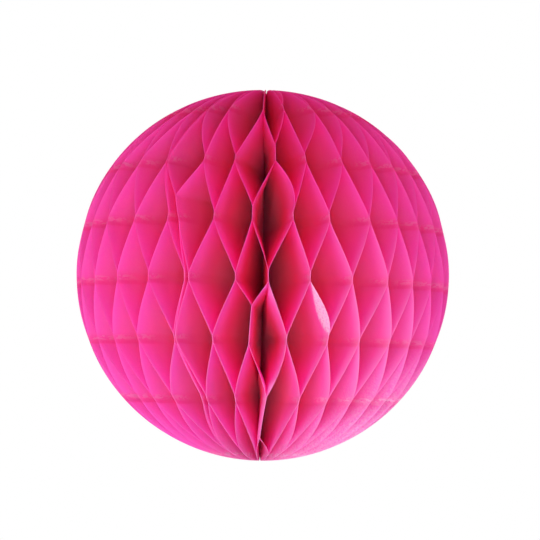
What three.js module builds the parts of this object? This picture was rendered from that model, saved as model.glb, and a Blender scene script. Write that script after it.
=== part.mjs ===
// Honeycomb paper ball. Half-disc leaves of tissue stand round a cord spine, like the pages of a book
// opened right round. Level stripes of glue hold each leaf to its two neighbours, by turns to the one
// and to the other, so the leaves fold to and fro and the gaps between them open into cells.
// Millimetres, +Z up along the spine, the ball's centre at the origin, its front towards -Y.

import * as THREE from "three";

// Driving dimensions
const BALL_RADIUS = 100;
const LEAF_COUNT = 58; // even, so that the stripes take turns all the way round
const LEAF_THICKNESS = 0.1;
const GLUE_FILM = 0.05; // between two leaves where they are stuck together
const STRIPE_PITCH = 30; // height from one glue stripe to the next
const STRIPE_WIDTH = 5;
const MIDDLE_STRIPE_HEIGHT = -6.5; // of the stripe next to the ball's centre
const CORD_DIAMETER = 2.8;
const CORD_GAP = 0.05; // from the cord to the edges of the leaves
const POLE_OPENING = 4; // distance from the axis at which a leaf's round edge ends
const POLE_DIMPLE = 2; // depth of the leaves' spine edge below the poles

// How the leaves are spread, as angles about the spine counted from the front towards +X
const FRONT_GAP = THREE.MathUtils.degToRad(2); // the gap between the first leaf and the last
const FRONT_CROWDING = 0.03; // share by which the leaves stand closer together at the front

// Fineness of the solids
const LONGEST_ARC_STEP = THREE.MathUtils.degToRad(10.5);
const CORD_SIDES = 16;

const SPINE_RADIUS = CORD_DIAMETER / 2 + CORD_GAP;
const POLE_HEIGHT = Math.sqrt(BALL_RADIUS ** 2 - POLE_OPENING ** 2);
const SPINE_SHARE = (BALL_RADIUS - POLE_DIMPLE) / BALL_RADIUS; // of a row's height, at the spine
const FRONT_TURN = -Math.PI / 2; // turns an angle of 0 from +X to the front

const tissue = new THREE.MeshStandardMaterial({
  color: 0xf03c9b,
  roughness: 0.75,
  metalness: 0,
});
const cotton = new THREE.MeshStandardMaterial({
  color: 0xd8347f,
  roughness: 0.9,
  metalness: 0,
});

// Angle of the gap before a leaf, where it is glued to the leaf before it
function gapAngle(leaf) {
  const even = (leaf * 2 * Math.PI) / LEAF_COUNT;
  return FRONT_GAP + even - FRONT_CROWDING * Math.sin(even);
}

// Heights of a leaf's rows: both edges of every stripe, both ends, and steps along the arc between them
function rowHeights() {
  const creases = [-POLE_HEIGHT, POLE_HEIGHT];
  const most = Math.ceil((2 * BALL_RADIUS) / STRIPE_PITCH);
  for (let stripe = -most; stripe <= most; stripe++) {
    const middle = MIDDLE_STRIPE_HEIGHT + stripe * STRIPE_PITCH;
    creases.push(middle - STRIPE_WIDTH / 2, middle + STRIPE_WIDTH / 2);
  }
  const latitudes = creases
    .filter((height) => Math.abs(height) <= POLE_HEIGHT)
    .map((height) => Math.asin(height / BALL_RADIUS))
    .sort((a, b) => a - b);
  const heights = [BALL_RADIUS * Math.sin(latitudes[0])];
  for (let i = 1; i < latitudes.length; i++) {
    const span = latitudes[i] - latitudes[i - 1];
    const steps = Math.ceil(span / LONGEST_ARC_STEP);
    for (let step = 1; step <= steps; step++)
      heights.push(BALL_RADIUS * Math.sin(latitudes[i - 1] + (span * step) / steps));
  }
  return heights;
}

// How far a leaf leans at a height: -1 where it is glued to the leaf before it, 1 where to the next
function lean(leaf, height) {
  const stripe = Math.round((height - MIDDLE_STRIPE_HEIGHT) / STRIPE_PITCH);
  const fromStripe = Math.abs(height - MIDDLE_STRIPE_HEIGHT - stripe * STRIPE_PITCH);
  const fromCrease = Math.max(0, fromStripe - STRIPE_WIDTH / 2);
  const gluedBefore = (stripe - leaf) % 2 === 0;
  return (gluedBefore ? -1 : 1) * (1 - (2 * fromCrease) / (STRIPE_PITCH - STRIPE_WIDTH));
}

// One folded leaf as a closed skin, with +X out along the middle of its own wedge and +Y towards the next
// leaf. Each row has four corners: the spine and the round edge of the face before, then of the face after.
function leafGeometry(leaf, heights) {
  const halfWedge = (gapAngle(leaf + 1) - gapAngle(leaf)) / 2;
  const spineHalf = Math.min(
    LEAF_THICKNESS / 2,
    SPINE_RADIUS * Math.tan(halfWedge) - GLUE_FILM / 2 / Math.cos(halfWedge),
  );
  const corners = [];
  for (const height of heights) {
    const radius = Math.sqrt(BALL_RADIUS ** 2 - height ** 2);
    const glued = halfWedge - Math.asin((LEAF_THICKNESS + GLUE_FILM) / 2 / radius);
    const angle = lean(leaf, height) * glued;
    const out = radius * Math.cos(angle);
    const across = radius * Math.sin(angle);
    corners.push(SPINE_RADIUS, -spineHalf, height * SPINE_SHARE);
    corners.push(out, across - LEAF_THICKNESS / 2, height);
    corners.push(out, across + LEAF_THICKNESS / 2, height);
    corners.push(SPINE_RADIUS, spineHalf, height * SPINE_SHARE);
  }
  const top = 4 * (heights.length - 1);
  const faces = [0, 3, 2, 0, 2, 1, top, top + 1, top + 2, top, top + 2, top + 3];
  for (let row = 0; row < top; row += 4) {
    for (let side = 0; side < 4; side++) {
      const a = row + side;
      const b = row + ((side + 1) % 4);
      // the two broad faces bend along the same diagonal, which keeps the leaf one thickness
      if (side === 2) faces.push(a, b, a + 4, b, b + 4, a + 4);
      else faces.push(a, b, b + 4, a, b + 4, a + 4);
    }
  }
  const geometry = new THREE.BufferGeometry();
  geometry.setAttribute("position", new THREE.Float32BufferAttribute(corners, 3));
  geometry.setIndex(faces);
  geometry.computeVertexNormals();
  return geometry;
}

function leafMesh(leaf, heights) {
  const mesh = new THREE.Mesh(leafGeometry(leaf, heights), tissue);
  mesh.name = `leaf_${String(leaf + 1).padStart(2, "0")}`;
  mesh.rotation.z = FRONT_TURN + (gapAngle(leaf) + gapAngle(leaf + 1)) / 2;
  return mesh;
}

// The cord that the leaves' straight edges are bound to
function spineCord() {
  const length = 2 * POLE_HEIGHT * SPINE_SHARE;
  const geometry = new THREE.CylinderGeometry(
    CORD_DIAMETER / 2,
    CORD_DIAMETER / 2,
    length,
    CORD_SIDES,
  );
  const mesh = new THREE.Mesh(geometry, cotton);
  mesh.name = "spine_cord";
  mesh.rotation.x = Math.PI / 2;
  return mesh;
}

const ball = new THREE.Group();
const heights = rowHeights();
for (let leaf = 0; leaf < LEAF_COUNT; leaf++) ball.add(leafMesh(leaf, heights));
ball.add(spineCord());

export default ball;
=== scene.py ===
"""Honeycomb paper ball: folded tissue leaves round a cotton cord, hung in soft studio light."""

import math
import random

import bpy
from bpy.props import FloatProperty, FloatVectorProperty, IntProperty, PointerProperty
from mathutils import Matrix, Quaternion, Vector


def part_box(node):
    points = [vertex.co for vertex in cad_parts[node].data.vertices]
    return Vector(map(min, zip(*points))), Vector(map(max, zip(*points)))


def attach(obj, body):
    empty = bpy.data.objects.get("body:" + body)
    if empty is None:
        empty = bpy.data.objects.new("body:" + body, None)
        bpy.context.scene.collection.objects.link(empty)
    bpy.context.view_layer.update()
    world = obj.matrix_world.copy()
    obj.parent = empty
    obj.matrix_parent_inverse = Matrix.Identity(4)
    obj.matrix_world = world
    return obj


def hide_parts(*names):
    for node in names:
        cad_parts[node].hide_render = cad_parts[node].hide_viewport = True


bl_info = {
    "name": "Honeycomb Paper Ball",
    "version": (1, 0, 0),
    "blender": (4, 5, 0),
    "location": "View3D > Sidebar > Paper Ball",
    "description": "Folds the tissue leaves of a honeycomb paper ball and sets its stage",
    "category": "Object",
}

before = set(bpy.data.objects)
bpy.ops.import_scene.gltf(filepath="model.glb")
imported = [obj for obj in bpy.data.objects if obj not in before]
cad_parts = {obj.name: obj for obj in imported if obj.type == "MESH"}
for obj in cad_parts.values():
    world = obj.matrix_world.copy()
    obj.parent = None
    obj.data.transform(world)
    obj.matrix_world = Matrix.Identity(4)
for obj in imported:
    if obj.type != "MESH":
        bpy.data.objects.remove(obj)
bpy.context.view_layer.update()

MM = 0.001
CM = 10 * MM
BODY = "root"
LEAF_NODES = sorted(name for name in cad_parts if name.startswith("leaf_"))
CORD_NODE = "spine_cord"
LIGHT_BOUNCES = 24  # light finds its way deep into the cells

# Glue levels are counted from the one next to the ball's middle. One beyond each pole is planned too,
# because the leaves lean towards it.
LOWEST_LEVEL = -4
LEVEL_COUNT = 9

# The two narrow leaves that close the ball lie in this gap of the regular ones
CLOSING_GAP = 53
CLOSING_LEAVES = 2

# Joints that hold more of the paper than their stripe: gap and level, then their reach above and below
# in mm, and their slant in degrees of turn for each cm of height
LONG_JOINTS = {
    (59, 3): (20.0, 2.0, 0.0),
    (59, 1): (5.0, 2.2, 0.0),
    (59, -1): (16.0, 3.0, 0.5),
    (0, 2): (7.0, 2.0, 0.0),
    (0, 0): (3.5, 2.4, 0.0),
    (0, -2): (1.5, 20.0, 1.1),
    (55, 1): (10.5, 2.5, -2.0),
}

# Joints where the paper's edge curls, by gap and level: how far it bends to the right, in mm
CURLED_JOINTS = {
    (0, -2): 1.4,
}

# Edges that bow between two joints, by leaf and lower level: how far they bow to the right, in mm
BOWED_EDGES = {
    (0, 1): 4.0,
    (0, -2): 2.0,
    (59, 1): -0.8,
}

# Joints that bulge inside the ball, by gap and level: how far to the right a third of the way out, in mm
BULGED_JOINTS = {
    (1, 1): 2.4,
    (59, 1): -1.3,
    (1, -1): 1.4,
    (59, -1): -0.8,
}

# Cells whose walls meet before the spine, by gap and level: the share of the way out where they meet,
# halfway between the cell's joints and at them
SHALLOW_CELLS = {
    (0, 1): (0.1, 0.7),
    (0, -1): (0.1, 1.2),
    (59, 2): (0.0, 0.8),
    (59, -2): (0.1, 1.0),
}

# Joints that stray from their even place, in degrees, by gap and level
JOINT_STRAYS = {
    (57, 3): -4.0,
    (59, 3): 0.5,
    (1, 3): -2.0,
    (3, 3): 1.0,
    (48, 2): -2.5,
    (50, 2): -1.5,
    (58, 2): -1.0,
    (0, 2): 0.5,
    (2, 2): -1.5,
    (4, 2): -0.5,
    (49, 1): -1.5,
    (57, 1): 0.5,
    (59, 1): 0.0,
    (1, 1): 0.0,
    (3, 1): -1.0,
    (52, 0): 1.0,
    (56, 0): -0.5,
    (58, 0): 1.5,
    (0, 0): -1.0,
    (2, 0): -1.0,
    (57, -1): 0.0,
    (59, -1): -0.5,
    (1, -1): -1.0,
    (5, -1): -1.0,
    (48, -2): 2.0,
    (58, -2): -0.5,
    (0, -2): -0.5,
    (2, -2): 0.5,
}

# Turns of the closing leaves' joints in degrees, by gap and level
CLOSING_TURNS = {
    (53, 3): -32.2,
    (53, 1): -29.1,
    (53, -1): -27.6,
    (53, -3): -28.6,
    (54, 4): -29.0,
    (54, 2): -34.8,
    (54, 0): -22.6,
    (54, -2): -23.2,
    (54, -4): -28.0,
    (55, 3): -31.2,
    (55, 1): -25.7,
    (55, -1): -27.0,
    (55, -3): -27.4,
}

# Turns of the closing leaves' gaps from the regular gap that they lie in, in degrees
CLOSING_SPREAD = (-1.2, 0.0, 1.2)

# Share of its stripe that a common joint holds above and below: the least, and what chance may add
HELD_ABOVE = (0.22, 0.4)
HELD_BELOW = (0.26, 0.2)

# Fine shaping of a leaf
COLUMN_CROWDING = 1.6  # how much closer its columns stand towards the round edge
SPINE_SHARE = 0.4  # most of its wedge that half a leaf's thickness takes near the spine
SINK_LATITUDES = (math.radians(30), math.radians(85))  # where the top starts to sink, and fully has
CRINKLE_SCALE = 45.0  # shallow waves in a metre
FLAP_SKEW = 0.75  # below 1, the flap is widest below its middle
FLAP_FADE = 0.6 * MM  # from the flap's fold to its full painted highlight
CURL_DEPTH = 7 * MM  # from the round edge
CURL_FADE = 4.0  # how fast a curl ends away from its joint
WALLS_MEET = 0.96  # furthest out that the walls of a shallow cell meet
WALLS_PRESS = 0.98  # share of the way that they come together
WALLS_FLARE = 0.5  # how much rounder they part where they meet further out
BULGE_PEAK = 6.75  # makes a bulge's curve 1 a third of the way out
CREASE_ANGLE = math.radians(50)  # sharper folds aren't shaded smooth

# Spine cord
CORD_PLIES = 3
CORD_TURNS = 28.0
STEPS_PER_TURN = 18
PLY_SIDES = 12

# Lamps: turn from the front and height angle in degrees, and size in metres
LAMP_DISTANCE = 1.2
LAMPS = {
    "low": (-45, -50, 0.8),
    "left": (-30, -22, 0.6),
    "right": (34, -16, 0.6),
    "front": (0, -12, 0.5),
    "back": (180, 10, 0.8),
}
FLOOR_HALF = 6.0
FLOOR_COLOUR = (0.8, 0.8, 0.8)
FLOOR_LIFT = 0.66  # what the camera sees of the floor besides the light on it


class BallSizes(bpy.types.PropertyGroup):
    """Sizes of the ball, its leaves and its glue stripes."""

    radius: FloatProperty(
        name="Radius",
        description="Radius of the open ball",
        default=100 * MM,
        unit="LENGTH",
    )
    leaf_thickness: FloatProperty(
        name="Leaf thickness",
        description="Thickness of one tissue leaf",
        default=0.1 * MM,
        unit="LENGTH",
    )
    glue_film: FloatProperty(
        name="Glue film",
        description="Film of glue between two leaves that are stuck together",
        default=0.05 * MM,
        unit="LENGTH",
    )
    stripe_pitch: FloatProperty(
        name="Stripe pitch",
        description="Height from one glue stripe to the next",
        default=30 * MM,
        unit="LENGTH",
    )
    stripe_width: FloatProperty(
        name="Stripe width",
        description="Height of one glue stripe",
        default=5 * MM,
        unit="LENGTH",
    )
    middle_stripe: FloatProperty(
        name="Middle stripe",
        description="Height of the stripe next to the ball's middle",
        default=-6.5 * MM,
        unit="LENGTH",
    )
    spine_radius: FloatProperty(
        name="Spine radius",
        description="Distance from the axis to the leaves' straight edges",
        default=1.45 * MM,
        unit="LENGTH",
    )
    pole_opening: FloatProperty(
        name="Pole opening",
        description="Distance from the axis at which a leaf's round edge ends",
        default=4 * MM,
        unit="LENGTH",
    )
    pole_dimple: FloatProperty(
        name="Pole dimple",
        description="Depth of the leaves' straight edge below the poles",
        default=2 * MM,
        unit="LENGTH",
    )
    front_gap: FloatProperty(
        name="Front gap",
        description="Turn of the first gap from the front",
        default=math.radians(2),
        subtype="ANGLE",
    )
    front_crowding: FloatProperty(
        name="Front crowding",
        description="Share by which the leaves stand closer together at the front",
        default=0.03,
        subtype="FACTOR",
    )


class FoldSettings(bpy.types.PropertyGroup):
    """How evenly the leaves are folded and spread."""

    rows: IntProperty(name="Rows", description="Rows of points up a leaf", default=261)
    columns: IntProperty(name="Columns", description="Columns of points across a leaf", default=10)
    fine_columns: IntProperty(
        name="Fine columns",
        description="Columns of points across a leaf with a bent flap, a shallow cell or a bulge",
        default=45,
    )
    softness: FloatProperty(
        name="Softness",
        description="Roundness of a leaf between its joints, from straight to an S",
        default=0.12,
        subtype="FACTOR",
    )
    wander: FloatProperty(
        name="Wander",
        description="Most that a joint strays from its even place",
        default=math.radians(0.6),
        subtype="ANGLE",
    )
    right_lean: FloatProperty(
        name="Right lean",
        description="Turn towards the front that the leaves have at the far right",
        default=math.radians(4),
        subtype="ANGLE",
    )
    top_sink: FloatProperty(
        name="Top sink",
        description="Depth by which the top of the ball has sunk",
        default=0.9 * MM,
        unit="LENGTH",
    )
    top_swirl: FloatProperty(
        name="Top swirl",
        description="Turn of the leaves near the top on the right",
        default=math.radians(7),
        subtype="ANGLE",
    )
    closing_push: FloatProperty(
        name="Closing push",
        description="Turn by which the closing leaves push their neighbours apart",
        default=math.radians(1.6),
        subtype="ANGLE",
    )
    crinkle: FloatProperty(
        name="Crinkle",
        description="Depth of the paper's shallow waves",
        default=0.25 * MM,
        unit="LENGTH",
    )
    flap_leaf: IntProperty(name="Flap leaf", description="Leaf whose edge is bent out", default=2)
    flap_level: IntProperty(name="Flap level", description="Glue level below the flap", default=-1)
    flap_depth: FloatProperty(
        name="Flap depth",
        description="Width of the bent flap at its middle",
        default=8.3 * MM,
        unit="LENGTH",
    )
    flap_bend: FloatProperty(
        name="Flap bend",
        description="Turn of the bent flap out of its leaf",
        default=math.radians(16),
        subtype="ANGLE",
    )
    seed: IntProperty(name="Seed", description="Seed of the joints' small differences", default=7)


class PaperLook(bpy.types.PropertyGroup):
    """Colours of the paper, its glue and its cord, and of the light and shade painted on the paper."""

    tissue: FloatVectorProperty(
        name="Tissue",
        description="Colour of the dyed tissue",
        default=(0.91, 0.130, 0.79),
        subtype="COLOR",
    )
    # Painted light from below: paler towards the bottom
    tissue_painted_low_light: FloatVectorProperty(
        name="Low tissue",
        description="Colour of the dyed tissue towards the bottom, where it has faded",
        default=(0.91, 0.20, 0.93),
        subtype="COLOR",
    )
    # Painted light and shade partway into the cells
    tissue_inner_painted_light: FloatVectorProperty(
        name="Inner tissue",
        description="Colour partway into the cells, where the dye hasn't faded",
        default=(0.98, 0.30, 0.63),
        subtype="COLOR",
    )
    # Painted light: pale at the spine, standing in for light deep in the cells
    tissue_deep_painted_light: FloatVectorProperty(
        name="Deep tissue",
        description="Colour at the spine, where little light comes",
        default=(0.99, 0.68, 0.88),
        subtype="COLOR",
    )
    # Also painted on the bent flap as its highlight
    glue: FloatVectorProperty(
        name="Glue",
        description="Pale colour of dried glue and of the bent flap",
        default=(0.90, 0.92, 1.0),
        subtype="COLOR",
    )
    # Painted shade along the stripes and their creases
    glued: FloatVectorProperty(
        name="Glued tissue",
        description="Darker colour of two layers stuck together",
        default=(0.80, 0.06, 0.40),
        subtype="COLOR",
    )
    # Painted highlight and painted sheen
    painted_highlight: FloatVectorProperty(
        name="Rubbed tissue",
        description="Pale colour of rubbed edges",
        default=(0.90, 0.92, 0.95),
        subtype="COLOR",
    )
    through: FloatVectorProperty(
        name="Through",
        description="Colour of the light that comes through the tissue",
        default=(0.995, 0.14, 0.51),
        subtype="COLOR",
    )
    # Painted light from below, in the light that comes through
    through_painted_low_light: FloatVectorProperty(
        name="Through low tissue",
        description="Colour of the light that comes through the tissue towards the bottom",
        default=(0.995, 0.15, 0.60),
        subtype="COLOR",
    )
    # Paler through glue and cut edges, and where painted highlights fall
    through_glue_and_highlight: FloatVectorProperty(
        name="Through rubbed tissue",
        description="Colour of the light that comes through rubbed or glued tissue",
        default=(0.97, 0.58, 0.88),
        subtype="COLOR",
    )
    # Also the colour of the painted highlight on the cut edges, and of pale single fibres
    cut_edge: FloatVectorProperty(
        name="Cut edge",
        description="Paler colour of the tissue's cut edge",
        default=(0.98, 0.48, 0.80),
        subtype="COLOR",
    )
    cotton: FloatVectorProperty(
        name="Cotton",
        description="Colour of the spine cord",
        default=(0.66, 0.04, 0.21),
        subtype="COLOR",
    )


class StageSettings(bpy.types.PropertyGroup):
    """Camera, floor and light."""

    camera_distance: FloatProperty(
        name="Camera distance",
        description="From the camera to the ball's middle",
        default=0.97,
        unit="LENGTH",
    )
    camera_elevation: FloatProperty(
        name="Camera elevation",
        description="Height angle of the camera seen from the ball",
        default=math.radians(-3.2),
        subtype="ANGLE",
    )
    camera_roll: FloatProperty(
        name="Camera roll",
        description="Turn of the camera about its own axis",
        default=math.radians(1.0),
        subtype="ANGLE",
    )
    lens: FloatProperty(
        name="Lens",
        description="Focal length in millimetres",
        default=119.8,
        unit="CAMERA",
    )
    shift: FloatVectorProperty(
        name="Shift",
        description="Offset of the frame from the ball's middle, in frame widths",
        size=2,
        default=(0.0134, 0.0083),
    )
    floor_height: FloatProperty(
        name="Floor height",
        description="Height of the floor under the hanging ball",
        default=-1.4,
        unit="LENGTH",
    )
    world_level: FloatProperty(
        name="World level",
        description="Brightness of the room's even light",
        default=0.205,
    )
    left_level: FloatProperty(
        name="Left level",
        description="Brightness of a white card facing the left lamp alone",
        default=0.255,
    )
    right_level: FloatProperty(
        name="Right level",
        description="Brightness of a white card facing the right lamp alone",
        default=0.245,
    )
    low_level: FloatProperty(
        name="Low level",
        description="Brightness of a white card facing the low lamp alone",
        default=0.365,
    )
    front_level: FloatProperty(
        name="Front level",
        description="Brightness of a white card facing the front lamp alone",
        default=0.41,
    )
    back_level: FloatProperty(
        name="Back level",
        description="Brightness of a white card facing the back lamp alone",
        default=0.42,
    )


class NodeSketch:
    """Adds nodes to a tree and joins them. Numbers and sockets are given alike."""

    def __init__(self, tree):
        self.tree = tree
        self.tree.nodes.clear()

    def add(self, kind, inputs=None, **settings):
        """A node with its settings made first, because they decide which sockets it has."""
        node = self.tree.nodes.new(kind)
        for name, value in settings.items():
            setattr(node, name, value)
        for key, value in (inputs or {}).items():
            self.feed(node.inputs[key], value)
        return node

    def feed(self, socket, value):
        if isinstance(value, bpy.types.NodeSocket):
            self.tree.links.new(value, socket)
        else:
            socket.default_value = value

    def math(self, operation, *terms):
        inputs = dict(enumerate(terms))
        return self.add("ShaderNodeMath", inputs, operation=operation).outputs[0]

    def plus(self, a, b):
        return self.math("ADD", a, b)

    def minus(self, a, b):
        return self.math("SUBTRACT", a, b)

    def times(self, a, b):
        return self.math("MULTIPLY", a, b)

    def over(self, a, b):
        return self.math("DIVIDE", a, b)

    def power(self, a, b):
        return self.math("POWER", a, b)

    def absolute(self, value):
        return self.math("ABSOLUTE", value)

    def most(self, first, *others):
        for other in others:
            first = self.math("MAXIMUM", first, other)
        return first

    def least(self, a, b):
        return self.math("MINIMUM", a, b)

    def between(self, share, start, end):
        """The value that lies this share of the way from start to end."""
        return self.plus(start, self.times(share, self.minus(end, start)))

    def vector(self, x, y, z):
        return self.add("ShaderNodeCombineXYZ", {0: x, 1: y, 2: z}).outputs[0]

    def parts(self, vector):
        return self.add("ShaderNodeSeparateXYZ", {0: vector}).outputs

    def ramp(self, value, low, high, kind="LINEAR"):
        """A share that goes from 0 to 1 as the value goes from low to high, which may be the smaller one."""
        inputs = {"Value": value, "From Min": low, "From Max": high}
        return self.add("ShaderNodeMapRange", inputs, interpolation_type=kind).outputs[0]

    def noise(self, vector, scale, detail=2.0, roughness=0.5):
        inputs = {"Vector": vector, "Scale": scale, "Detail": detail, "Roughness": roughness}
        return self.add("ShaderNodeTexNoise", inputs).outputs[0]

    def wobble(self, noise, reach):
        """A length that strays by up to half the reach to either side of nothing."""
        return self.times(self.minus(noise, 0.5), reach)

    def blend(self, share, first, second):
        """Mixes two colours; a Mix node's colour sockets are found by number, since names repeat."""
        inputs = {"Factor": share, 6: first, 7: second}
        return self.add("ShaderNodeMix", inputs, data_type="RGBA").outputs[2]

    def attribute(self, name):
        """A value that the mesh carries."""
        node = self.add("ShaderNodeAttribute", attribute_type="GEOMETRY", attribute_name=name)
        return node.outputs["Fac"]


def rgba(colour):
    """A colour with its opacity."""
    return (*colour, 1.0)


def new_geometry_tree(name, inputs):
    """A Geometry Nodes tree with the named inputs; returns its sketch and its inputs by name."""
    tree = bpy.data.node_groups.new(name, "GeometryNodeTree")
    for label, kind in inputs:
        tree.interface.new_socket(label, in_out="INPUT", socket_type=kind)
    tree.interface.new_socket("Geometry", in_out="OUTPUT", socket_type="NodeSocketGeometry")
    sketch = NodeSketch(tree)
    given = sketch.add("NodeGroupInput").outputs
    return sketch, given


def finish_geometry_tree(sketch, geometry, material):
    """Ends a tree in real geometry with its material."""
    real = sketch.add("GeometryNodeRealizeInstances", {"Geometry": geometry}).outputs[0]
    dressed = sketch.add("GeometryNodeSetMaterial", {"Geometry": real, "Material": material}).outputs[0]
    sketch.add("NodeGroupOutput", {"Geometry": dressed}, is_active_output=True)
    return sketch.tree


def grown_mesh(name, tree, values):
    """An object at the origin with the plain mesh that the tree makes from these input values."""
    seedling = bpy.data.objects.new(name + "_seedling", bpy.data.meshes.new(name + "_seedling"))
    bpy.context.scene.collection.objects.link(seedling)
    modifier = seedling.modifiers.new("grow", "NODES")
    modifier.node_group = tree
    for item in tree.interface.items_tree:
        if item.in_out == "INPUT" and item.name in values:
            modifier[item.identifier] = values[item.name]
    seedling.update_tag()
    bpy.context.view_layer.update()
    evaluated = seedling.evaluated_get(bpy.context.evaluated_depsgraph_get())
    mesh = bpy.data.meshes.new_from_object(evaluated)
    if not mesh.polygons:
        raise RuntimeError(f"{name} came out empty")
    mesh.name = name
    bpy.data.objects.remove(seedling)
    piece = bpy.data.objects.new(name, mesh)
    bpy.context.scene.collection.objects.link(piece)
    return piece


def fit_piece(piece, slot, *nodes):
    """Ties a finished piece to the frame."""
    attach(piece, BODY)
    if nodes:
        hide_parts(*nodes)


# Leaves

def even_gap(sizes, gap):
    """Turn of a regular gap from the front."""
    even = gap * 2 * math.pi / len(LEAF_NODES)
    return sizes.front_gap + even - sizes.front_crowding * math.sin(even)


def closing_push(folds, turn, closing):
    """Turn by which the closing leaves push a gap away from them."""
    reach = math.radians(30)
    away = math.remainder(turn - closing, 2 * math.pi)
    return math.copysign(folds.closing_push, away) * math.exp(-abs(away) / reach)


def top_swirl(sizes, folds, turn, height):
    """Turn that the leaves' upper part has on the right of the ball."""
    left_start = math.radians(16)
    start = sizes.middle_stripe + sizes.stripe_pitch
    rise = max(0.0, (height - start) / (2 * sizes.stripe_pitch))
    return folds.top_swirl * rise**2 * max(0.0, math.sin(turn + left_start))


def right_lean(folds, turn):
    """Turn towards the front of the leaves on the far right."""
    start = math.sin(math.radians(37))
    return -folds.right_lean * max(0.0, (math.sin(turn) - start) / (1 - start))


def gap_turns(sizes, folds):
    """Turns of all gaps at the middle of the ball, with those of the closing leaves in their place."""
    closing = even_gap(sizes, CLOSING_GAP)
    turns = []
    for gap in range(len(LEAF_NODES) + 1):
        turn = even_gap(sizes, gap)
        if gap == CLOSING_GAP:
            turns += [turn + math.radians(apart) for apart in CLOSING_SPREAD]
        else:
            turns.append(turn + closing_push(folds, turn, closing) + right_lean(folds, turn))
    return turns


def planned_joint(sizes, folds, draw, turn, gap, level):
    """Where and how the paper is glued at one gap and level."""
    key = (gap, level)
    stray = draw.uniform(-folds.wander, folds.wander)
    above = sizes.stripe_width * (HELD_ABOVE[0] + HELD_ABOVE[1] * draw.random() ** 2)
    below = sizes.stripe_width * (HELD_BELOW[0] + HELD_BELOW[1] * draw.random())
    slant = 0.0
    if key in LONG_JOINTS:
        above, below, slant = LONG_JOINTS[key]
        above *= MM
        below *= MM
        slant = math.radians(slant) / CM
    if key in JOINT_STRAYS:
        stray = math.radians(JOINT_STRAYS[key])
    height = sizes.middle_stripe + level * sizes.stripe_pitch
    place = turn + stray + top_swirl(sizes, folds, turn, height)
    if key in CLOSING_TURNS:
        place = 2 * math.pi + math.radians(CLOSING_TURNS[key])
    meet_middle, meet_joint = SHALLOW_CELLS.get(key, (0.0, 0.0))
    return {
        "turn": place,
        "above": above,
        "below": below,
        "slant": slant,
        "curl": CURLED_JOINTS.get(key, 0.0) * MM,
        "bow": BOWED_EDGES.get(key, 0.0) * MM,
        "bulge": BULGED_JOINTS.get(key, 0.0) * MM,
        "meet_middle": meet_middle,
        "meet_joint": meet_joint,
    }


def joint_plan(sizes, folds):
    """A mesh with one point for each gap and level, whose attributes say how the paper is glued there."""
    draw = random.Random(folds.seed)
    joints = []
    for gap, turn in enumerate(gap_turns(sizes, folds)):
        for level in range(LOWEST_LEVEL, LOWEST_LEVEL + LEVEL_COUNT):
            joints.append(planned_joint(sizes, folds, draw, turn, gap, level))
    # the last gap is the first one again, a whole turn on
    for step in range(LEVEL_COUNT):
        first = joints[step]
        joints[step - LEVEL_COUNT] = {**first, "turn": first["turn"] + 2 * math.pi}
    mesh = bpy.data.meshes.new("joint_plan")
    mesh.vertices.add(len(joints))
    for name in joints[0]:
        values = [joint[name] for joint in joints]
        mesh.attributes.new(name, "FLOAT", "POINT").data.foreach_set("value", values)
    plan = bpy.data.objects.new("joint_plan", mesh)
    bpy.context.scene.collection.objects.link(plan)
    return plan


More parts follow.
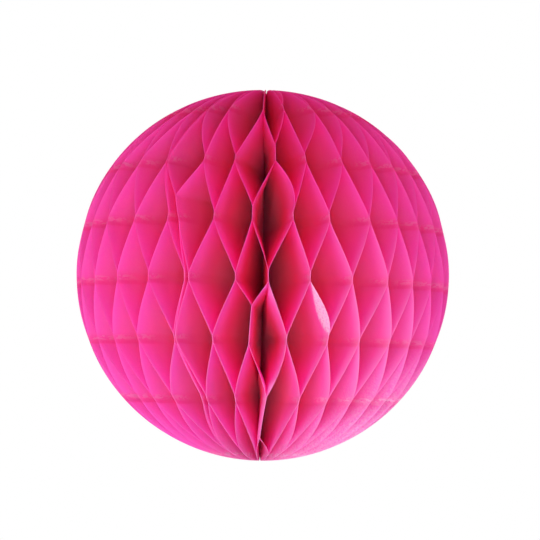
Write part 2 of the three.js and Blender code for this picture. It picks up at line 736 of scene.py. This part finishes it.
def leaf_tree():
    """Tree that folds one leaf from the joint plan.

    A block of rows and columns becomes the leaf: its width runs from the spine to the round edge, its
    depth is the paper's thickness, and its height follows the ball from pole to pole.
    """
    number, whole = "NodeSocketFloat", "NodeSocketInt"
    s, given = new_geometry_tree(
        "honeycomb leaf",
        [
            ("Leaf", whole),
            ("Joint Plan", "NodeSocketObject"),
            ("Radius", number),
            ("Thickness", number),
            ("Glue Film", number),
            ("Stripe Pitch", number),
            ("Middle Stripe", number),
            ("Spine Radius", number),
            ("Spine Turn", number),
            ("Wedge", number),
            ("Pole Opening", number),
            ("Pole Dimple", number),
            ("Top Sink", number),
            ("Softness", number),
            ("Crinkle", number),
            ("Flap Level", whole),
            ("Flap Depth", number),
            ("Flap Bend", number),
            ("Rows", whole),
            ("Columns", whole),
            ("Material", "NodeSocketMaterial"),
        ],
    )
    block = s.add(
        "GeometryNodeMeshCube",
        {"Size": (1, 1, 1), "Vertices X": given["Columns"], "Vertices Y": 2, "Vertices Z": given["Rows"]},
    )
    place = s.parts(s.add("GeometryNodeInputPosition").outputs[0])
    across = s.plus(place[0], 0.5)
    out = s.minus(1.0, s.power(s.minus(1.0, across), COLUMN_CROWDING))
    side = s.times(place[1], 2.0)

    # Height and width of the ball at this row
    pole = s.math("ARCCOSINE", s.over(given["Pole Opening"], given["Radius"]))
    latitude = s.times(s.times(place[2], 2.0), pole)
    height = s.times(given["Radius"], s.math("SINE", latitude))
    rim = s.times(given["Radius"], s.math("COSINE", latitude))

    # The joints below and above this row: a leaf is glued to its two gaps by turns
    steps = s.over(s.minus(height, given["Middle Stripe"]), given["Stripe Pitch"])
    level = s.math("FLOOR", steps)
    odd = s.math("FLOORED_MODULO", s.minus(level, given["Leaf"]), 2.0)
    even = s.minus(1.0, odd)
    plan = s.add("GeometryNodeObjectInfo", {"Object": given["Joint Plan"]}).outputs["Geometry"]

    def joint(gap_step, level_step, name):
        gap = s.plus(given["Leaf"], gap_step)
        row = s.plus(s.minus(level, LOWEST_LEVEL), level_step)
        index = s.plus(s.times(gap, LEVEL_COUNT), row)
        value = s.add("GeometryNodeInputNamedAttribute", {"Name": name}, data_type="FLOAT").outputs[0]
        inputs = {"Geometry": plan, "Value": value, "Index": s.math("ROUND", index)}
        return s.add("GeometryNodeSampleIndex", inputs, data_type="FLOAT", clamp=True).outputs[0]

    def below(name):
        return joint(odd, 0, name)

    def above(name):
        return joint(even, 1, name)

    # Share of the way from the joint below to the joint above
    reach_below = below("above")
    reach_above = above("below")
    row_height = s.times(s.minus(steps, level), given["Stripe Pitch"])
    run = s.minus(s.minus(given["Stripe Pitch"], reach_above), reach_below)
    share = s.least(s.most(s.over(s.minus(row_height, reach_below), run), 0.0), 1.0)
    rounded = s.ramp(share, 0.0, 1.0, "SMOOTHSTEP")
    folded = s.between(given["Softness"], share, rounded)

    # Turn of the round edge, and the glue film that keeps two leaves apart at a joint
    along_below = s.least(row_height, reach_below)
    along_above = s.least(s.minus(given["Stripe Pitch"], row_height), reach_above)
    turn_below = s.plus(below("turn"), s.times(below("slant"), along_below))
    turn_above = s.minus(above("turn"), s.times(above("slant"), along_above))
    turn = s.between(folded, turn_below, turn_above)
    glued = s.times(s.plus(given["Thickness"], given["Glue Film"]), 0.5)
    side_below = s.minus(1.0, s.times(odd, 2.0))
    apart = s.times(s.times(side_below, s.minus(1.0, s.times(folded, 2.0))), glued)

    # From the spine to the round edge
    def around(radius, angle, sideways):
        x = s.plus(s.times(radius, s.math("SINE", angle)), s.times(sideways, s.math("COSINE", angle)))
        y = s.minus(s.times(sideways, s.math("SINE", angle)), s.times(radius, s.math("COSINE", angle)))
        return x, y

    spine_height = s.times(height, s.minus(1.0, s.over(given["Pole Dimple"], given["Radius"])))
    rim_x, rim_y = around(rim, turn, apart)
    spine_x, spine_y = around(given["Spine Radius"], given["Spine Turn"], 0.0)
    sunk = s.times(given["Top Sink"], s.ramp(latitude, *SINK_LATITUDES, "SMOOTHSTEP"))
    z = s.minus(s.between(out, spine_height, height), sunk)

    # Half the thickness, which is less where the leaves crowd at the spine
    radius = s.between(out, given["Spine Radius"], rim)
    room = s.times(s.times(radius, given["Wedge"]), SPINE_SHARE)
    half = s.least(s.times(given["Thickness"], 0.5), room)

    # Shallow waves and bowed edges, free between the joints
    free = s.times(s.times(share, s.minus(1.0, share)), 4.0)
    spot = s.vector(s.plus(radius, given["Leaf"]), height, 0.0)
    wave = s.wobble(s.noise(spot, CRINKLE_SCALE, 1.0), s.times(given["Crinkle"], 2.0))
    waved = s.times(s.times(s.plus(wave, joint(0.0, 0, "bow")), free), out)

    # Joints that bulge inside the ball and stay level at the round edge
    inside = s.times(s.times(out, s.power(s.minus(1.0, out), 2.0)), BULGE_PEAK)
    bulge = s.times(s.between(folded, below("bulge"), above("bulge")), inside)

    # The bent flap
    swell = s.math("SINE", s.times(s.power(share, FLAP_SKEW), math.pi))
    depth = s.times(given["Flap Depth"], swell)
    here = s.math("COMPARE", level, given["Flap Level"], 0.5)
    beyond = s.most(s.minus(radius, s.minus(rim, depth)), 0.0)
    flap = s.times(s.times(beyond, here), s.math("TANGENT", given["Flap Bend"]))

    # Curled edges
    near_edge = s.ramp(s.minus(rim, radius), CURL_DEPTH, 0.0)
    curled = s.times(s.minus(s.times(near_edge, near_edge), 1.0), out)
    bend_below = s.times(below("curl"), s.power(s.minus(1.0, folded), CURL_FADE))
    bend_above = s.times(above("curl"), s.power(folded, CURL_FADE))
    curl = s.times(s.plus(bend_below, bend_above), curled)

    # The walls of a shallow cell meet before the spine, and nearer to the round edge close to its joints
    def pressed(gap_step, level_step, nearness, near_joint, far_joint):
        meet_middle = joint(gap_step, level_step, "meet_middle")
        meet_joint = joint(gap_step, level_step, "meet_joint")
        meet = s.least(s.between(nearness, meet_middle, meet_joint), WALLS_MEET)
        flare = s.power(s.ramp(out, meet, 1.0), s.plus(1.0, s.times(meet, WALLS_FLARE)))
        middle = s.between(nearness, s.times(s.plus(near_joint, far_joint), 0.5), near_joint)
        width = s.times(rim, s.minus(middle, turn))
        return s.times(s.times(s.minus(out, flare), width), WALLS_PRESS)

    press_below = pressed(even, 0, folded, turn_above, joint(even, -1, "turn"))
    press_above = pressed(odd, 1, s.minus(1.0, folded), turn_below, joint(odd, 2, "turn"))

    sideways = s.times(side, half)
    for bend in [waved, bulge, flap, curl, press_below, press_above]:
        sideways = s.plus(sideways, bend)
    x = s.plus(s.between(out, spine_x, rim_x), s.times(sideways, s.math("COSINE", turn)))
    y = s.plus(s.between(out, spine_y, rim_y), s.times(sideways, s.math("SINE", turn)))

    # What the tissue's material reads from the leaf, the mask for the flap's painted highlight among it
    leaf = block.outputs["Mesh"]
    marks = {
        "rim_distance": s.minus(rim, radius),
        "bent_flap": s.times(s.ramp(beyond, 0.0, FLAP_FADE), here),
        "left_face": s.ramp(side, 1.0, -1.0),
    }
    for name, value in marks.items():
        leaf = s.add(
            "GeometryNodeStoreNamedAttribute",
            {"Geometry": leaf, "Name": name, "Value": value},
            data_type="FLOAT",
            domain="POINT",
        ).outputs[0]

    shaped = s.add("GeometryNodeSetPosition", {"Geometry": leaf, "Position": s.vector(x, y, z)})
    smooth = s.add("GeometryNodeSetShadeSmooth", {"Geometry": shaped.outputs[0]}, domain="FACE")
    edge_angle = s.add("GeometryNodeInputMeshEdgeAngle").outputs["Unsigned Angle"]
    crease = s.math("GREATER_THAN", edge_angle, CREASE_ANGLE)
    creased = s.add(
        "GeometryNodeSetShadeSmooth",
        {"Geometry": smooth.outputs[0], "Selection": crease, "Shade Smooth": False},
        domain="EDGE",
    )
    return finish_geometry_tree(s, creased.outputs[0], given["Material"])


def fold_leaves(sizes, folds, tissue):
    """Folds every leaf and ties it to its node; the closing leaves are extra ones."""
    plan = joint_plan(sizes, folds)
    turns = gap_turns(sizes, folds)
    tree = leaf_tree()
    shared = {
        "Joint Plan": plan,
        "Radius": sizes.radius,
        "Thickness": sizes.leaf_thickness,
        "Glue Film": sizes.glue_film,
        "Stripe Pitch": sizes.stripe_pitch,
        "Middle Stripe": sizes.middle_stripe,
        "Spine Radius": sizes.spine_radius,
        "Pole Opening": sizes.pole_opening,
        "Pole Dimple": sizes.pole_dimple,
        "Top Sink": folds.top_sink,
        "Softness": folds.softness,
        "Crinkle": folds.crinkle,
        "Flap Level": folds.flap_level,
        "Flap Bend": folds.flap_bend,
        "Rows": folds.rows,
        "Material": tissue,
    }
    regular = list(LEAF_NODES)
    count = len(LEAF_NODES) + CLOSING_LEAVES
    fine = {folds.flap_leaf}
    for gap, _ in [*SHALLOW_CELLS, *BULGED_JOINTS]:
        fine |= {gap, (gap - 1) % count}
    for leaf in range(count):
        closing = leaf - CLOSING_GAP
        extra = 0 <= closing < CLOSING_LEAVES
        nodes = [] if extra else [regular.pop(0)]
        name = f"closing_leaf_{closing + 1}" if extra else nodes[0].replace("leaf", "tissue_leaf")
        flapped = leaf == folds.flap_leaf
        values = {
            "Leaf": leaf,
            "Spine Turn": (turns[leaf] + turns[leaf + 1]) / 2,
            "Wedge": turns[leaf + 1] - turns[leaf],
            "Flap Depth": folds.flap_depth if flapped else 0.0,
            "Columns": folds.fine_columns if leaf in fine else folds.columns,
        }
        fit_piece(grown_mesh(name, tree, {**shared, **values}), "tissue", *nodes)
    bpy.data.objects.remove(plan)


# Spine cord

def cord_tree():
    """Tree that twists three plies of cotton into a cord."""
    number, whole = "NodeSocketFloat", "NodeSocketInt"
    s, given = new_geometry_tree(
        "spine cord",
        [
            ("Length", number),
            ("Radius", number),
            ("Plies", whole),
            ("Turns", number),
            ("Steps", whole),
            ("Material", "NodeSocketMaterial"),
        ],
    )
    # three round plies fill a circle when each is this share of its radius
    ply_share = 1 / (1 + 2 / math.sqrt(3))
    ply = s.times(given["Radius"], ply_share)
    lay = s.minus(given["Radius"], ply)
    height = s.minus(given["Length"], s.times(ply, 0.5))
    path = s.add(
        "GeometryNodeCurveSpiral",
        {
            "Resolution": given["Steps"],
            "Rotations": given["Turns"],
            "Start Radius": lay,
            "End Radius": lay,
            "Height": height,
        },
    )
    section = s.add("GeometryNodeCurvePrimitiveCircle", {"Resolution": PLY_SIDES, "Radius": ply})
    strand = s.add(
        "GeometryNodeCurveToMesh",
        {"Curve": path.outputs[0], "Profile Curve": section.outputs[0], "Fill Caps": True},
    )
    low = s.vector(0.0, 0.0, s.times(height, -0.5))
    centred = s.add("GeometryNodeTransform", {"Geometry": strand.outputs[0], "Translation": low})
    starts = s.add("GeometryNodePoints", {"Count": given["Plies"]})
    index = s.add("GeometryNodeInputIndex").outputs[0]
    turn = s.times(index, s.over(2 * math.pi, given["Plies"]))
    plies = s.add(
        "GeometryNodeInstanceOnPoints",
        {"Points": starts.outputs[0], "Instance": centred.outputs[0], "Rotation": s.vector(0.0, 0.0, turn)},
    )
    return finish_geometry_tree(s, plies.outputs[0], given["Material"])


def twist_cord(cotton):
    """Twists the cord in its node's place."""
    low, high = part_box(CORD_NODE)
    values = {
        "Length": high.z - low.z,
        "Radius": (high.x - low.x) / 2,
        "Plies": CORD_PLIES,
        "Turns": CORD_TURNS,
        "Steps": STEPS_PER_TURN,
        "Material": cotton,
    }
    fit_piece(grown_mesh("spine_twist", cord_tree(), values), "cord", CORD_NODE)


# Materials

# Depths into a leaf from its round edge at which a colour or a mark starts and is full
# The inner and outside colours are painted light and shade
INNER_SPAN = (60 * MM, 30 * MM)
OUTSIDE_SPAN = (30 * MM, 0.0)
STRIPE_SPAN = (22 * MM, 6 * MM)
GLUE_SPAN = (16 * MM, 4 * MM)
HIGHLIGHT_SPAN = (12 * MM, 0.0)
SHEEN_BAND_SPAN = (8 * MM, 0.0)
EDGE_SPAN = (2.2 * MM, 0.2 * MM)
DEPTH_WOBBLE = 4 * MM  # how far the borders of the painted depth colours and of the marks stray

# Sides of the ball that get painted light, and the shares of its radius at which they start and are full:
# the lit side low on the right, with painted highlights, and the front, with painted sheen; then the
# heights, as shares of the radius, over which the painted light from below grows
PAINTED_LIGHT_SIDE = (0.40, -0.22, -0.89)
PAINTED_LIGHT_SPAN = (0.73, 1.0)
FRONT_SIDE = (0.2, -0.8, -0.5)
FRONT_SPAN = (0.6, 0.95)
PAINTED_LOW_LIGHT_SPAN = (0.8, -0.8)

# Glue stripes: distances from their middle or their lower side, and grain of the broken streaks
STRIPE_WOBBLE = 1.6 * MM
STRIPE_WOBBLE_SCALE = 70.0
STRIPE_BORDER = (1.05, 0.75)  # in half stripe widths
CREASE_SPAN = (0.7 * MM, 0.1 * MM)
DASH_HEIGHT = 0.4 * MM
DASH_SPAN = (1.7 * MM, 0.5 * MM)
STREAK_STRETCH = (1.0, 1.0, 2.2)
STREAK_SCALE = 330.0
STREAK_DETAIL = 3.0
STREAK_ROUGHNESS = 0.6
STREAK_SPAN = (0.45, 0.53)

# Strengths of the marks on the tissue: painted shade of the stripes and creases, glue, painted highlights
# and sheen, and pale fibres
STRIPE_SHADE = 0.6
CREASE_SHADE = 0.5
GLUE_LEAST = 0.25  # where the painted light doesn't fall; on the lit side the glue shows fully, as painted highlight
HIGHLIGHT_SHARE = 0.9
SHEEN_BAND_SHARE = 0.42
EDGE_LEAST = 0.12
EDGE_HIGHLIGHT_GAIN = 0.55  # painted highlight added on the lit side and at the front
LIGHT_FIBRE_SHARE = 0.17

# Fibre heights at which a colour starts and is full
HIGHLIGHT_FIBRES = (0.3, 0.6)
FLAP_FIBRES = (0.25, 0.5)
LIGHT_FIBRES = (0.45, 0.65)
YARN_FIBRES = (0.3, 0.7)

# Grain and finish
FIBRE_DETAIL = 4.0
FIBRE_ROUGHNESS = 0.65
CLOUD_DETAIL = 3.0
TISSUE_CLOUDS = 110.0
TISSUE_FIBRES = 900.0
TISSUE_BUMP = 0.12
TISSUE_GLOSS = 0.3
TISSUE_ROUGH = 0.45
TISSUE_ROUGH_GAIN = 0.2  # what the fibres add
YARN_STRETCH = (1.0, 1.0, 0.3)
YARN_CLOUDS = 300.0
YARN_FINE = 3500.0
YARN_BUMP = 0.5
YARN_SHEEN = 0.3
YARN_ROUGH = 0.82
YARN_ROUGH_GAIN = 0.1  # what the clouds add
YARN_SHADE = 0.7  # colour between the fibres, as a share of the cotton's
FIBRE_HEIGHT = 0.1 * MM
THROUGH_SHARE = 0.6  # part of the light that goes through the tissue


def new_material(name):
    """A material and the sketch of its empty tree."""
    material = bpy.data.materials.new(name)
    material.use_nodes = True
    return material, NodeSketch(material.node_tree)


def fibre_group():
    """Shader group: soft clouds and fine fibres of paper or cotton."""
    tree = bpy.data.node_groups.new("fibres", "ShaderNodeTree")
    tree.interface.new_socket("Place", in_out="INPUT", socket_type="NodeSocketVector")
    for label in ["Cloud Scale", "Fibre Scale"]:
        tree.interface.new_socket(label, in_out="INPUT", socket_type="NodeSocketFloat")
    for label in ["Clouds", "Fibres"]:
        tree.interface.new_socket(label, in_out="OUTPUT", socket_type="NodeSocketFloat")
    s = NodeSketch(tree)
    given = s.add("NodeGroupInput").outputs
    clouds = s.noise(given["Place"], given["Cloud Scale"], CLOUD_DETAIL)
    fibres = s.noise(given["Place"], given["Fibre Scale"], FIBRE_DETAIL, FIBRE_ROUGHNESS)
    s.add("NodeGroupOutput", {"Clouds": clouds, "Fibres": fibres})
    return tree


def shared_fibres():
    """The fibre group, built once."""
    return bpy.data.node_groups.get("fibres") or fibre_group()


def side_mask(s, place, sizes, side, span):
    """Share from 0 to 1 that grows towards one side of the ball."""
    towards = s.add("ShaderNodeVectorMath", {0: place, 1: side}, operation="DOT_PRODUCT")
    start, full = (share * sizes.radius for share in span)
    return s.ramp(towards.outputs["Value"], start, full)


def stripe_marks(s, place, height, sizes):
    """Masks of the glue stripes: the painted shade of their lower part, the painted crease shadow below and
    the broken streaks of glue.
    """
    half = sizes.stripe_width / 2
    strayed = s.plus(height, s.wobble(s.noise(place, STRIPE_WOBBLE_SCALE), STRIPE_WOBBLE))
    steps = s.over(s.minus(strayed, sizes.middle_stripe), sizes.stripe_pitch)
    above = s.times(s.minus(steps, s.math("ROUND", steps)), sizes.stripe_pitch)
    border, full = (share * half for share in STRIPE_BORDER)
    shade = s.times(s.ramp(s.absolute(above), border, full), s.ramp(above, half, -half))
    crease = s.ramp(s.absolute(s.plus(above, half)), *CREASE_SPAN)
    dash = s.ramp(s.absolute(s.minus(above, DASH_HEIGHT)), *DASH_SPAN)
    stretched = s.add("ShaderNodeMapping", {"Vector": place, "Scale": STREAK_STRETCH}).outputs[0]
    broken = s.ramp(s.noise(stretched, STREAK_SCALE, STREAK_DETAIL, STREAK_ROUGHNESS), *STREAK_SPAN)
    return shade, crease, s.times(dash, broken)


def tissue_material(look, sizes, fibres):
    """Dyed tissue: cloudy colour, fine fibres, pale dried glue along the stripes and paler cut edges, with
    painted light and shade: paler towards the bottom and changing with depth into the cells, shade along the
    stripes and creases, highlights low on the right, on the cut edges and on the bent flap, and sheen on the
    front leaves.
    """
    material, s = new_material("tissue")
    place = s.add("ShaderNodeTexCoord").outputs["Object"]
    height = s.parts(place)[2]
    grain = s.add(
        "ShaderNodeGroup",
        {"Place": place, "Cloud Scale": TISSUE_CLOUDS, "Fibre Scale": TISSUE_FIBRES},
        node_tree=fibres,
    )
    fibre = grain.outputs["Fibres"]
    edge_depth = s.attribute("rim_distance")
    depth = s.plus(edge_depth, s.wobble(grain.outputs["Clouds"], DEPTH_WOBBLE))
    painted_light_side = side_mask(s, place, sizes, PAINTED_LIGHT_SIDE, PAINTED_LIGHT_SPAN)
    front = side_mask(s, place, sizes, FRONT_SIDE, FRONT_SPAN)

    # Painted light: the tissue is paler towards the bottom, standing in for the light from below, and its
    # colour changes with depth into the cells, standing in for the light that reaches into them
    high_end, low_end = (share * sizes.radius for share in PAINTED_LOW_LIGHT_SPAN)
    low = s.ramp(height, high_end, low_end)
    outside = s.blend(low, rgba(look.tissue), rgba(look.tissue_painted_low_light))
    # Painted light deep in the cells, paler at the spine
    inside = s.blend(s.ramp(depth, *INNER_SPAN), rgba(look.tissue_deep_painted_light), rgba(look.tissue_inner_painted_light))
    dye_and_painted_light = s.blend(s.ramp(depth, *OUTSIDE_SPAN), inside, outside)

    # Near the round edge each stripe gets painted shade towards its lower side, with streaks of glue and a
    # painted crease shadow along that side; the painted shade is left out on the lit side
    shade, crease, streaks = stripe_marks(s, place, height, sizes)
    outer = s.times(s.ramp(depth, *STRIPE_SPAN), s.minus(1.0, painted_light_side))
    dye_and_painted_light = s.blend(s.times(s.times(shade, outer), STRIPE_SHADE), dye_and_painted_light, rgba(look.glued))
    dye_and_painted_light = s.blend(s.times(s.times(crease, outer), CREASE_SHADE), dye_and_painted_light, rgba(look.glued))
    glue_share = s.plus(s.times(painted_light_side, 1.0 - GLUE_LEAST), GLUE_LEAST)
    glue = s.times(s.times(streaks, s.ramp(depth, *GLUE_SPAN)), glue_share)

    # Painted highlight low on the right, where the lamps light the walls most, and painted sheen on the left
    # faces of the front leaves
    lit_side_highlight = s.times(s.ramp(depth, *HIGHLIGHT_SPAN), s.times(painted_light_side, HIGHLIGHT_SHARE))
    lit_side_highlight = s.times(lit_side_highlight, s.ramp(fibre, *HIGHLIGHT_FIBRES))
    # Painted sheen on the left faces of the front leaves, near their round edge
    painted_sheen_band = s.times(s.ramp(depth, *SHEEN_BAND_SPAN), s.times(front, s.attribute("left_face")))
    painted_highlight = s.most(lit_side_highlight, s.times(painted_sheen_band, SHEEN_BAND_SHARE))
    dye_and_painted_light = s.blend(painted_highlight, dye_and_painted_light, rgba(look.painted_highlight))
    dye_and_painted_light = s.blend(glue, dye_and_painted_light, rgba(look.glue))

    # Cut edges are paler, with painted highlight on the lit side and at the front; the bent flap gets a
    # painted highlight, and single fibres are paler
    edge_and_highlight_share = s.plus(s.times(s.most(painted_light_side, front), EDGE_HIGHLIGHT_GAIN), EDGE_LEAST)
    edge = s.times(s.ramp(edge_depth, *EDGE_SPAN), edge_and_highlight_share)
    dye_and_painted_light = s.blend(edge, dye_and_painted_light, rgba(look.cut_edge))
    # Painted highlight on the bent flap
    bent = s.times(s.attribute("bent_flap"), s.ramp(fibre, *FLAP_FIBRES))
    dye_and_painted_light = s.blend(bent, dye_and_painted_light, rgba(look.glue))
    light_fibres = s.times(s.ramp(fibre, *LIGHT_FIBRES), LIGHT_FIBRE_SHARE)
    dye_and_painted_light = s.blend(light_fibres, dye_and_painted_light, rgba(look.cut_edge))

    bump_inputs = {"Strength": TISSUE_BUMP, "Distance": FIBRE_HEIGHT, "Height": fibre}
    paper = s.add(
        "ShaderNodeBsdfPrincipled",
        {
            "Base Color": dye_and_painted_light,
            "Roughness": s.plus(s.times(fibre, TISSUE_ROUGH_GAIN), TISSUE_ROUGH),
            "Specular IOR Level": TISSUE_GLOSS,
            "Normal": s.add("ShaderNodeBump", bump_inputs).outputs[0],
        },
    )
    # The light through the tissue carries the painted light from below, and is paler through glue and cut
    # edges and where painted highlights fall
    through = s.blend(low, rgba(look.through), rgba(look.through_painted_low_light))
    through = s.blend(s.most(painted_highlight, glue, edge, bent), through, rgba(look.through_glue_and_highlight))
    glow = s.add("ShaderNodeBsdfTranslucent", {"Color": through})
    mix = s.add("ShaderNodeMixShader", {0: THROUGH_SHARE, 1: paper.outputs[0], 2: glow.outputs[0]})
    s.add("ShaderNodeOutputMaterial", {"Surface": mix.outputs[0]})
    return material


def cotton_material(look, fibres):
    """Dyed cotton yarn, darker between its fibres."""
    material, s = new_material("cotton")
    place = s.add("ShaderNodeTexCoord").outputs["Object"]
    yarn = s.add("ShaderNodeMapping", {"Vector": place, "Scale": YARN_STRETCH}).outputs[0]
    grain = s.add(
        "ShaderNodeGroup",
        {"Place": yarn, "Cloud Scale": YARN_CLOUDS, "Fibre Scale": YARN_FINE},
        node_tree=fibres,
    )
    fibre = grain.outputs["Fibres"]
    shade = [YARN_SHADE * part for part in look.cotton]
    bump_inputs = {"Strength": YARN_BUMP, "Distance": FIBRE_HEIGHT, "Height": fibre}
    cotton = s.add(
        "ShaderNodeBsdfPrincipled",
        {
            "Base Color": s.blend(s.ramp(fibre, *YARN_FIBRES), rgba(shade), rgba(look.cotton)),
            "Roughness": s.plus(s.times(grain.outputs["Clouds"], YARN_ROUGH_GAIN), YARN_ROUGH),
            "Sheen Weight": YARN_SHEEN,
            "Normal": s.add("ShaderNodeBump", bump_inputs).outputs[0],
        },
    )
    s.add("ShaderNodeOutputMaterial", {"Surface": cotton.outputs[0]})
    return material


# Stage

def seen_directly(s):
    """1 for what the camera sees itself, in a gloss or through glass, and 0 for light on the ball."""
    path = s.add("ShaderNodeLightPath").outputs
    return s.most(path["Is Camera Ray"], path["Is Glossy Ray"], path["Is Transmission Ray"])


def floor_material():
    """Matt white that stays pale to the camera and still takes the ball's shadow."""
    material, s = new_material("studio floor")
    matt = s.add("ShaderNodeBsdfDiffuse", {"Color": rgba(FLOOR_COLOUR)})
    lift = s.add("ShaderNodeEmission", {"Strength": s.times(seen_directly(s), FLOOR_LIFT)})
    both = s.add("ShaderNodeAddShader", {0: matt.outputs[0], 1: lift.outputs[0]})
    s.add("ShaderNodeOutputMaterial", {"Surface": both.outputs[0]})
    return material


def set_world(stage):
    """Even room light, seen as plain white."""
    world = bpy.data.worlds.new("studio")
    world.use_nodes = True
    s = NodeSketch(world.node_tree)
    strength = s.between(seen_directly(s), stage.world_level, 1.0)
    room = s.add("ShaderNodeBackground", {"Color": (1.0, 1.0, 1.0, 1.0), "Strength": strength})
    s.add("ShaderNodeOutputWorld", {"Surface": room.outputs[0]})
    bpy.context.scene.world = world


def direction(azimuth, elevation):
    """Unit vector from the ball; azimuth is counted from the front towards +X."""
    flat = math.cos(elevation)
    return Vector((flat * math.sin(azimuth), -flat * math.cos(azimuth), math.sin(elevation)))


def set_lamp(name, azimuth, elevation, size, level):
    """Square lamp aimed at the ball; level is how bright a white card facing it there would be."""
    lamp = bpy.data.lights.new(name, "AREA")
    lamp.shape = "SQUARE"
    lamp.size = size
    lamp.energy = level * (math.pi * LAMP_DISTANCE) ** 2
    away = direction(math.radians(azimuth), math.radians(elevation))
    holder = bpy.data.objects.new(name, lamp)
    holder.location = away * LAMP_DISTANCE
    holder.rotation_mode = "QUATERNION"
    holder.rotation_quaternion = away.to_track_quat("Z", "Y")
    holder.visible_camera = False
    bpy.context.scene.collection.objects.link(holder)


def set_floor(stage):
    """Wide floor far below the hanging ball."""
    half = FLOOR_HALF
    outline = [(-half, -half), (half, -half), (half, half), (-half, half)]
    mesh = bpy.data.meshes.new("floor")
    mesh.from_pydata([(x, y, stage.floor_height) for x, y in outline], [], [(0, 1, 2, 3)])
    mesh.materials.append(floor_material())
    floor = bpy.data.objects.new("floor", mesh)
    bpy.context.scene.collection.objects.link(floor)


def set_camera(stage):
    """Camera in front of the ball, a little below its middle."""
    data = bpy.data.cameras.new("camera")
    data.lens = stage.lens
    data.shift_x, data.shift_y = stage.shift
    camera = bpy.data.objects.new("camera", data)
    away = direction(0.0, stage.camera_elevation)
    camera.location = away * stage.camera_distance
    camera.rotation_mode = "QUATERNION"
    roll = Quaternion((0.0, 0.0, 1.0), stage.camera_roll)
    camera.rotation_quaternion = away.to_track_quat("Z", "Y") @ roll
    bpy.context.scene.collection.objects.link(camera)
    bpy.context.scene.camera = camera


# Operators and panel

class PAPERBALL_OT_leaves(bpy.types.Operator):
    """Fold the tissue leaves and glue them into cells"""

    bl_idname = "paperball.leaves"
    bl_label = "Fold Leaves"

    def execute(self, context):
        scene = context.scene
        tissue = tissue_material(scene.paperball_look, scene.paperball_sizes, shared_fibres())
        fold_leaves(scene.paperball_sizes, scene.paperball_folds, tissue)
        return {"FINISHED"}


class PAPERBALL_OT_cord(bpy.types.Operator):
    """Twist the cotton cord that binds the leaves' straight edges"""

    bl_idname = "paperball.cord"
    bl_label = "Twist Spine Cord"

    def execute(self, context):
        twist_cord(cotton_material(context.scene.paperball_look, shared_fibres()))
        return {"FINISHED"}


class PAPERBALL_OT_stage(bpy.types.Operator):
    """Set the floor, the soft light and the camera"""

    bl_idname = "paperball.stage"
    bl_label = "Set Stage"

    def execute(self, context):
        stage = context.scene.paperball_stage
        set_floor(stage)
        set_world(stage)
        for name, (azimuth, elevation, size) in LAMPS.items():
            set_lamp(f"{name} lamp", azimuth, elevation, size, getattr(stage, f"{name}_level"))
        set_camera(stage)
        context.scene.view_settings.view_transform = "Standard"
        for kind in ["max_bounces", "diffuse_bounces", "transmission_bounces"]:
            setattr(context.scene.cycles, kind, LIGHT_BOUNCES)
        return {"FINISHED"}


class PAPERBALL_PT_sidebar(bpy.types.Panel):
    """Steps and settings of the paper ball"""

    bl_label = "Paper Ball"
    bl_idname = "PAPERBALL_PT_sidebar"
    bl_space_type = "VIEW_3D"
    bl_region_type = "UI"
    bl_category = "Paper Ball"

    def draw(self, context):
        layout = self.layout
        for operator in OPERATORS:
            layout.operator(operator.bl_idname)
        for name, group in GROUPS.items():
            box = layout.box()
            box.label(text=group.__doc__)
            for label in group.__annotations__:
                box.prop(getattr(context.scene, name), label)


GROUPS = {
    "paperball_sizes": BallSizes,
    "paperball_folds": FoldSettings,
    "paperball_look": PaperLook,
    "paperball_stage": StageSettings,
}
OPERATORS = [PAPERBALL_OT_leaves, PAPERBALL_OT_cord, PAPERBALL_OT_stage]


def register():
    for group in [*GROUPS.values(), *OPERATORS, PAPERBALL_PT_sidebar]:
        bpy.utils.register_class(group)
    for name, group in GROUPS.items():
        setattr(bpy.types.Scene, name, PointerProperty(type=group))


def unregister():
    for name in GROUPS:
        delattr(bpy.types.Scene, name)
    for group in [PAPERBALL_PT_sidebar, *OPERATORS, *GROUPS.values()]:
        bpy.utils.unregister_class(group)


def main():
    register()
    bpy.ops.paperball.leaves()
    bpy.ops.paperball.cord()
    bpy.ops.paperball.stage()


if __name__ == "__main__":
    main()
